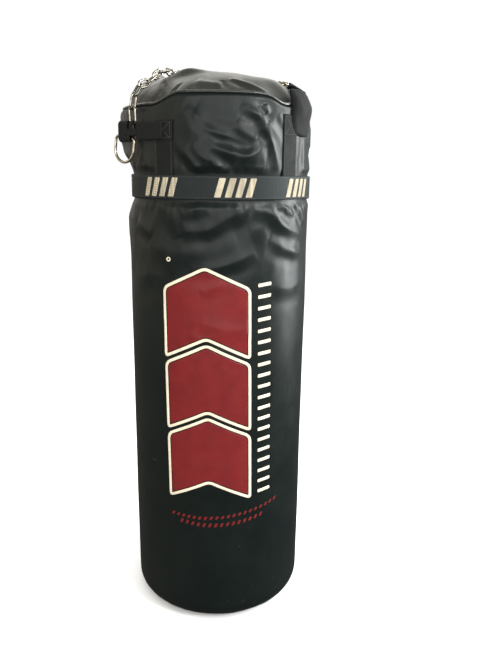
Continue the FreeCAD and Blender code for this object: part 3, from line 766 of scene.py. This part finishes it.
def make_graphics():
    """Three stacked arrowheads, a column of dashes beside them, two curved rows of ticks and
    a small ring."""
    left, right = GRAPHIC_LEFT, GRAPHIC_RIGHT
    middle = (left + right) / 2
    pitch = (GRAPHIC_HIGH - GRAPHIC_LOW - ARROW_RISE + ARROW_GAP) / 3
    band = pitch - ARROW_GAP
    for i in range(3):
        low = GRAPHIC_LOW + i * pitch
        corners = ((left, low), (middle, low + ARROW_RISE), (right, low), (right, low + band),
                   (middle, low + band + ARROW_RISE), (left, low + band))
        emblem(f"arrowhead_{i + 1}", corners, ARROW_CORNERS)
    for i in range(DASHES):
        corners = slanted(DASH_COLUMN - DASH_HALF, DASH_LOW + i * DASH_PITCH, 2 * DASH_HALF,
                          DASH_TALL, rise=DASH_SLOPE)
        decal(f"dash_{i + 1}", [rounded(lean(corners), (2.0,) * 4)], skin_place,
              MATERIALS["cream"])
    for row, (count, first, last, at_left, at_middle, at_right, tall) in enumerate(TICK_ROWS):
        bend = at_middle - (at_left + at_right) / 2
        for i in range(count):
            share = i / (count - 1)
            centre = at_left + (at_right - at_left) * share + bend * 4 * share * (1 - share)
            corners = slanted(first + (last - 8 - first) * share, centre - tall / 2, TICK_WIDTH,
                              tall, TICK_SLANT)
            decal(f"tick_{row + 1}_{i + 1}", [rounded(corners, (1,) * 4)], skin_place,
                  MATERIALS["red"])
    circles = [[(DOT_PLACE[0] + radius * math.cos(t), DOT_PLACE[1] + radius * math.sin(t))
                for t in np.linspace(0, 2 * math.pi, parts, endpoint=False)]
               for radius, parts in ((DOT_OUTER, 24), (DOT_INNER, 16))]
    decal("dot", circles, skin_place, MATERIALS["cream"], cell=2.0)


# ---- band, straps and loops
def band_radius(degrees, height):
    """The band's outer face, lifted where it runs over the straps."""
    over = sum(hump(wrap(degrees - middle), 0, 5.6) ** 0.7 for middle in STRAP_ANGLES.values())
    ripple = waves(degrees, height * 0, 51, 6, (5, 16), (0, 0)) * 0.12 * MM
    drawn_in = cinch(degrees, (BAND_LOW + BAND_HIGH) / 2)
    return BAND_RADIUS - 0.15 * MM + np.clip(over, 0, 1) * 0.15 * MM + ripple - drawn_in


def band_place(degrees, height, lift=0.0):
    return round_bag(degrees, band_radius(degrees, height) + lift, height)


def make_band():
    """A woven band with thicker edges, a row of stitching near each and cream motifs."""
    middle, half = (BAND_LOW + BAND_HIGH) / 2, (BAND_HIGH - BAND_LOW) / 2
    outline = []
    for x in np.linspace(-1, 1, 23):
        edge = smooth_step(abs(x), 0.88, 0.95) * (1 - smooth_step(abs(x), 0.97, 1.0))
        outline.append((x, 0.16 * MM * edge - 0.55 * MM * smooth_step(abs(x), 0.965, 1.0)))
    for x in (1.0, 0.6, 0.0, -0.6, -1.0):
        outline.append((x, -1.45 * MM))
    wander = 0.35 * MM * waves(ROUND, 0, 53, 5, (3, 11), (0, 0))
    rows, pairs = [], []
    for x, lift in outline:
        rows.append(round_bag(ROUND, band_radius(ROUND, 0) + lift, middle + x * half + wander))
        pairs += [(middle + x * half, a / 360 * 2 * math.pi * BAG_RADIUS) for a in ROUND]
    band = rings("band_webbing", rows, MATERIALS["band"], closed=True)
    weld(band)
    add_uv(band, pairs)
    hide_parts("woven_band")
    for side, edge in (("low", -1), ("high", 1)):
        stitch_ring(f"band_stitching_{side}", middle + edge * (half - 3.2 * MM),
                    lambda a, z: band_place(a, z, 0.10 * MM))
    make_motifs()


MOTIFS, FIRST_MOTIF = 8, 9.4
MOTIF_BARS = (-27.5, -9, 9, 27.5)
BAR_WIDTH, BAR_TALL, BAR_SLANT = 11.5, 33.0, 9.5


def make_motifs():
    """Cream motifs woven into the band: groups of parallel slanted bars."""
    low = (BAND_LOW + BAND_HIGH) / 2 / MM - BAR_TALL / 2
    for i in range(MOTIFS):
        centre = math.radians(FIRST_MOTIF + i * 360 / MOTIFS) * BAG_RADIUS / MM
        for j, offset in enumerate(MOTIF_BARS):
            left = centre + offset - (BAR_WIDTH + BAR_SLANT) / 2
            corners = slanted(left, low, BAR_WIDTH, BAR_TALL, BAR_SLANT)
            decal(f"motif_{i + 1}_{j + 1}", [rounded(corners, (1.6,) * 4)], band_place,
                  MATERIALS["band_cream"], thick=0.25, lift=0.16)


# Along one stitch: how far along, how thick, and how deep it sinks, as shares.
STITCH_SHAPE = ((0, 0.35, 0.5), (0.16, 0.9, 0.05), (0.5, 1, 0), (0.84, 0.9, 0.05), (1, 0.35, 0.5))
STITCH_SIDES = 6
STITCH_RADIUS = 0.32 * MM


def stitches(name, line, length=3.0, gap=1.2):
    """A row of separate stitches along a dense line of points, sunk into the cloth at their
    ends. Lengths are in millimetres."""
    line = [Vector(p) for p in line]
    travel = [0.0]
    for a, b in zip(line, line[1:]):
        travel.append(travel[-1] + (b - a).length)

    def at(distance):
        i = min(max(int(np.searchsorted(travel, distance)) - 1, 0), len(line) - 2)
        span = travel[i + 1] - travel[i] or 1
        return line[i].lerp(line[i + 1], (distance - travel[i]) / span)

    points, faces = [], []
    start = 0.0
    sides = STITCH_SIDES
    while start + length * MM < travel[-1]:
        base = len(points)
        ahead = (at(start + length * MM) - at(start)).normalized()
        for step, (share, size, sink) in enumerate(STITCH_SHAPE):
            here = at(start + share * length * MM)
            out = radial(here)
            across = ahead.cross(out)
            for turn in np.arange(sides) * 2 * math.pi / sides:
                around = out * math.cos(turn) + across * math.sin(turn)
                points.append(here + (around * size - out * sink) * STITCH_RADIUS)
            if step:
                low, high = base + (step - 1) * sides, base + step * sides
                for side in range(sides):
                    nxt = (side + 1) % sides
                    faces.append((low + side, low + nxt, high + nxt, high + side))
        last = base + (len(STITCH_SHAPE) - 1) * sides
        faces.append(tuple(base + s for s in range(sides)))
        faces.append(tuple(last + s for s in reversed(range(sides))))
        start += (length + gap) * MM
    new_piece(name, points, faces, MATERIALS["thread"])


def stitch_ring(name, height, place):
    angles = np.linspace(0, 360, 721)
    stitches(name, place(angles, height + 0 * angles))


def make_straps():
    """Flat webbing straps that run up from inside the band, turned over and sewn at the top."""
    half = math.degrees(STRAP_WIDTH / 2 / BAG_RADIUS)
    across = np.linspace(-1, 1, 21)
    start = BAND_LOW + 6 * MM
    inner = BAG_RADIUS + 0.1 * MM
    for name, middle in STRAP_ANGLES.items():
        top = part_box(name)[1].z
        outer = node_reach(name, max)
        has_pad = name != "strap_2"
        pad_low = top - (18 if name in ("strap_3", "strap_4") else 34) * MM
        rows, pairs = [], []
        for z in np.linspace(start, top, 60):
            thick = STRAP_THICK
            if has_pad:
                turned = smooth_step(z, pad_low - 1.5 * MM, pad_low + 1.0 * MM)
                thick += (outer - inner - STRAP_THICK) * turned
            end = 1 - smooth_step(top - z, 0, 0.9 * MM) if z > top - 0.002 else 0
            ring = []
            for x in across:
                edge = 0.10 * MM * smooth_step(abs(x), 0.80, 0.90)
                edge -= 0.5 * STRAP_THICK * smooth_step(abs(x), 0.955, 1.0)
                ripple = 0.10 * MM * math.sin(z * 210 + middle) * (1 - abs(x))
                ring.append((x, inner + thick - 0.12 * MM + edge + ripple - 0.4 * thick * end))
            ring += [(x, inner) for x in across[::-1]]
            side = middle + math.degrees(0.25 * MM * math.sin(z * 95 + middle * 3) / BAG_RADIUS)
            rows.append([round_bag(side + x * half, r, z) for x, r in ring])
            pairs += [(x * STRAP_WIDTH / 2, z) for x, _ in ring]
        piece = rings(f"{name}_webbing", rows, MATERIALS["webbing"],
                      cap_ends=("first", "last"))
        add_uv(piece, pairs + [(0, start), (0, top)])
        weld(piece)
        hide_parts(name)
        sewn_low = pad_low + 3 * MM if has_pad else top - 34 * MM
        box_stitch(f"{name}_stitching", middle, half * 0.82, sewn_low, top - 4 * MM,
                   outer - 0.02 * MM)
        for side, edge in (("left", -1), ("right", 1)):
            run = [round_bag(middle + edge * half * 0.86, BAG_RADIUS + 1.66 * MM, z)
                   for z in np.linspace(BAND_HIGH + 0.002, sewn_low - 0.003, 80)]
            stitches(f"{name}_edge_stitching_{side}", run)


def node_reach(name, pick):
    """The largest (max) or smallest (min) distance of a CAD node from the bag's axis."""
    return pick(math.hypot(v.co.x, v.co.y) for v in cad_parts[name].data.vertices)


def box_stitch(name, middle, half, low, high, radius):
    """A sewn rectangle with a cross in it."""
    corners = ((-half, low), (half, low), (half, high), (-half, high), (-half, low), (half, high))
    line = []
    for (a, b), (c, d) in zip(corners, corners[1:]):
        line += [round_bag(middle + a + (c - a) * t, radius, b + (d - b) * t)
                 for t in np.linspace(0, 1, 24)]
    stitches(name, line, length=2.6, gap=1.0)
    other = [round_bag(middle - half + 2 * half * t, radius, high + (low - high) * t)
             for t in np.linspace(0, 1, 30)]
    stitches(f"{name}_cross", other, length=2.6, gap=1.0)


def soft_copy(name, node_name, body, material, voxel, soften, ripple, scale, shrink=0.0):
    """Folded cloth from a plain CAD solid: rounded, slightly uneven, in the solid's place."""
    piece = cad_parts[node_name].copy()
    piece.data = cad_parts[node_name].data.copy()
    piece.name = name
    piece.parent = None
    piece.hide_render = piece.hide_viewport = False
    for key in [k for k in piece.keys() if k.startswith("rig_")]:
        del piece[key]
    show(piece)
    remesh = piece.modifiers.new("remesh", "REMESH")
    remesh.mode = "VOXEL"
    remesh.voxel_size = voxel
    smoothing = piece.modifiers.new("smooth", "SMOOTH")
    smoothing.factor = 0.5
    smoothing.iterations = soften
    depsgraph = bpy.context.evaluated_depsgraph_get()
    mesh = bpy.data.meshes.new_from_object(piece.evaluated_get(depsgraph))
    piece.modifiers.clear()
    piece.data = mesh
    normals = np.array([v.normal for v in mesh.vertices])
    places = np.array([v.co for v in mesh.vertices])
    draw = random.Random(node_name)
    uneven = np.zeros(len(places))
    for _ in range(8):
        way = np.array([draw.uniform(-1, 1) for _ in range(3)])
        uneven += np.sin(places @ (way / np.linalg.norm(way)) * scale * draw.uniform(0.6, 1.6)
                         + draw.uniform(0, 6.28))
    move = (uneven / 4) * ripple - shrink
    mesh.vertices.foreach_set("co", (places + normals * move[:, None]).ravel())
    finish_piece(piece, material, body)
    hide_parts(node_name)
    return piece


def make_loops():
    for number in (1, 2, 3, 4):
        node_name = f"loop_{number}"
        soft_copy(f"{node_name}_webbing", node_name, node_name, MATERIALS["tape"],
                  0.0008, 8, 0.00012, 210)


def make_flap():
    """The doubled end of strap 2, hanging over the seam as a soft, rounded tab."""
    low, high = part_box("strap_2_flap")
    inner, outer = node_reach("strap_2_flap", min), node_reach("strap_2_flap", max)
    half = FLAP_HALF
    around = np.linspace(0, 2 * math.pi, 48, endpoint=False)
    across = np.sign(np.cos(around)) * np.abs(np.cos(around)) ** 0.55
    bulk = np.sign(np.sin(around)) * np.abs(np.sin(around)) ** 0.75
    rows = []
    for t in np.linspace(-1, 1, 44):
        size = (1 - abs(t) ** 5) ** (1 / 3.2)
        x = across * half * (0.80 + 0.20 * size) - 1.6 * hump(t, 1, 0.5) + 0.6 * math.sin(t * 4)
        thick = 0.5 + 0.5 * bulk * size
        belly = (outer - inner) * (0.62 + 0.38 * hump(t, 0.15, 0.75)) * (1 - 0.25 * (x / half) ** 2)
        slope = -(0.003 + 0.014 * smooth_step(x, -3, half)) * smooth_step(t, 0.0, 1)
        slope = slope + 0.005 * smooth_step(-x, 0, half) * smooth_step(-t, 0.2, 1)
        height = (low.z + high.z) / 2 + t * (high.z - low.z) / 2 + slope
        crease = 0.0005 * np.sin(x * 0.9 + t * 5) * np.clip(np.sin(around), 0, 1)
        radius = inner + 0.0002 + belly * thick + crease
        rows.append(round_bag(FLAP_ANGLE + x, radius, height))
    flap = rings("strap_2_flap_webbing", rows, MATERIALS["tape"],
                 cap_ends=("first", "last"))
    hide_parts("strap_2_flap")


def keep_inside(piece):
    """Presses a filling down where the seam pulls the crown and the skin's shoulder lower."""
    mesh = piece.data
    places = np.array([v.co for v in mesh.vertices])
    radius = np.hypot(places[:, 0], places[:, 1])
    angles = np.degrees(np.arctan2(places[:, 0], -places[:, 1]))
    top = crown_height(angles, np.minimum(radius, SEAM_RADIUS)) - 3.5 * MM
    top -= 9 * MM * smooth_step(radius, 0.150, 0.174)
    places[:, 2] = np.minimum(places[:, 2], top)
    high = places[:, 2] > 0.78
    room = skin_radius(angles[high], places[high, 2]) - 1.0 * MM
    places[high, :2] *= np.minimum(1, room / np.maximum(radius[high], 1 * MM))[:, None]
    mesh.vertices.foreach_set("co", places.ravel())


# Each filling: CAD node, material, slot, how coarse its mesh is and how uneven its surface.
FILLINGS = (
    ("foam_liner", "foam", "foam", 0.0035, 0.0003),
    ("top_pad", "foam", "foam", 0.004, 0.0006),
    ("base_pad", "foam", "foam", 0.004, 0.0006),
    ("fibre_fill", "fibre", "fibre_fill", 0.008, 0.0012),
    ("sand_sacks", "sack", "sand_sack", 0.004, 0.0006),
)
FILLING_ROOM = 0.7 * MM


def make_fillings():
    """What the skin holds: a foam liner, pads, loose fibre and sacks of sand."""
    for node_name, key, slot, voxel, ripple in FILLINGS:
        piece = soft_copy(f"{node_name}_soft", node_name, "bag", MATERIALS[key], voxel, 3,
                          ripple, 70, FILLING_ROOM)
        keep_inside(piece)


METALS = (("chain", "zinc"), ("connector", "zinc"), ("d_ring", "nickel"),
          ("collector", "nickel"), ("swivel", "swivel"))


def dress_metal():
    """Better materials on the CAD pieces that stay."""
    for name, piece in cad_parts.items():
        for start, key in METALS:
            if name.startswith(start):
                for holder in piece.material_slots:
                    holder.material = MATERIALS[key]


# ---- floor, lights, camera
def make_floor():
    bpy.ops.mesh.primitive_plane_add(size=160, location=(0, 0, -0.0005))
    floor = bpy.context.object
    floor.name = "floor"
    material, tree, shader, coords = new_material("pale_floor")
    colour = ramp(tree, noise(tree, coords, 3, 3), [(0.3, 0.78), (0.7, 0.81)])
    connect(tree, shader, {"Base Color": colour, "Roughness": 0.85, "Specular IOR Level": 0.1})
    floor.data.materials.append(material)
    floor.visible_glossy = False


def area_light(name, place, target, size, watts, colour=(1, 1, 1)):
    lamp = bpy.data.lights.new(name, "AREA")
    lamp.shape = "RECTANGLE"
    lamp.size, lamp.size_y = size
    lamp.energy = watts
    lamp.color = colour
    light = show(bpy.data.objects.new(name, lamp))
    light.location = place
    light.rotation_euler = (Vector(target) - Vector(place)).to_track_quat("-Z", "Y").to_euler()


def sun_light(name, watts, spread):
    lamp = bpy.data.lights.new(name, "SUN")
    lamp.energy = watts
    lamp.angle = math.radians(spread)
    light = show(bpy.data.objects.new(name, lamp))
    light.rotation_euler = (math.radians(6), math.radians(4), 0)
    light.visible_glossy = False


def make_lights():
    """A pale room: light from above, a wide panel in front, a strong one at the right
    and one high behind for the crown."""
    sun_light("overhead", 3.1, 100)
    area_light("front_wall", (0.0, -3.0, 1.45), (0, 0, 1.15), (4.6, 2.1), 95, (1.0, 1.0, 0.985))
    area_light("right", (1.75, 0.20, 1.18), (0, 0, 0.90), (0.7, 1.8), 74, (0.97, 1.0, 1.0))
    area_light("right_front", (1.70, -1.55, 1.75), (0, 0, 1.00), (0.6, 0.6), 46, (0.98, 1.0, 0.99))
    area_light("behind", (0.2, 2.2, 2.50), (0, 0, 1.05), (3.0, 1.2), 30, (1.0, 0.98, 0.90))
    world = bpy.data.worlds.new("studio")
    world.use_nodes = True
    bpy.context.scene.world = world
    tree = world.node_tree
    tree.nodes.clear()
    coords = node(tree, "ShaderNodeTexCoord").outputs["Generated"]
    split = node(tree, "ShaderNodeSeparateXYZ", {"Vector": coords})

    def shade(axis, stops):
        """A colour that depends on where a reflection looks along one axis."""
        half = times(tree, split.outputs[axis], 0.5)
        return ramp(tree, times(tree, half, 0.5, "ADD"), stops)

    side = shade("X", [(0.0, (1.42, 1.26, 1.06)), (0.42, (0.66, 0.67, 0.66)),
                       (0.6, (0.66, 0.68, 0.68)), (1.0, (1.0, 1.0, 1.0))])
    up = shade("Z", [(0.36, 0.14), (0.47, 0.42), (0.56, 1.0),
                     (0.70, 0.85), (0.80, 0.35)])
    back = shade("Y", [(0.50, 1.0), (0.74, 0.70)])
    both = node(tree, "ShaderNodeVectorMath", {0: side, 1: up}, operation="MULTIPLY").outputs[0]
    both = node(tree, "ShaderNodeVectorMath", {0: both, 1: back}, operation="MULTIPLY").outputs[0]
    soft = node(tree, "ShaderNodeBackground", {"Color": both, "Strength": 1.3})
    pale = node(tree, "ShaderNodeBackground", {"Color": (1.0, 1.0, 1.0, 1), "Strength": 1.0})
    seen = node(tree, "ShaderNodeLightPath").outputs["Is Camera Ray"]
    mixed = node(tree, "ShaderNodeMixShader", {0: seen, 1: soft.outputs[0], 2: pale.outputs[0]})
    output = node(tree, "ShaderNodeOutputWorld")
    tree.links.new(mixed.outputs[0], output.inputs["Surface"])


CAMERA_PLACE = Vector((0, -1.32, 0.90))
CAMERA_TURN = math.radians(2.61)
CAMERA_TILT = math.radians(13.66)
CAMERA_ROLL = math.radians(0.72)
IMAGE_HEIGHT = 659
FOCAL_PIXELS = 640


def make_camera():
    level = Vector((math.sin(CAMERA_TURN), math.cos(CAMERA_TURN), 0))
    right = Vector((math.cos(CAMERA_TURN), -math.sin(CAMERA_TURN), 0))
    ahead = level * math.cos(CAMERA_TILT) - Vector((0, 0, math.sin(CAMERA_TILT)))
    above = right.cross(ahead)
    turned_right = right * math.cos(CAMERA_ROLL) + above * math.sin(CAMERA_ROLL)
    turned_above = above * math.cos(CAMERA_ROLL) - right * math.sin(CAMERA_ROLL)
    lens = bpy.data.cameras.new("camera")
    lens.sensor_width = 36
    lens.lens = FOCAL_PIXELS / IMAGE_HEIGHT * lens.sensor_width
    lens.dof.use_dof = False
    camera = show(bpy.data.objects.new("camera", lens))
    camera.matrix_world = Matrix((turned_right, turned_above, -ahead)).transposed().to_4x4()
    camera.location = CAMERA_PLACE
    bpy.context.scene.camera = camera


# ---- build
make_skin()
make_base()
make_cap()
make_welt()
make_graphics()
make_band()
make_straps()
make_loops()
make_flap()
make_fillings()
dress_metal()
make_floor()
make_lights()
make_camera()
bpy.context.scene.view_settings.view_transform = "Standard"
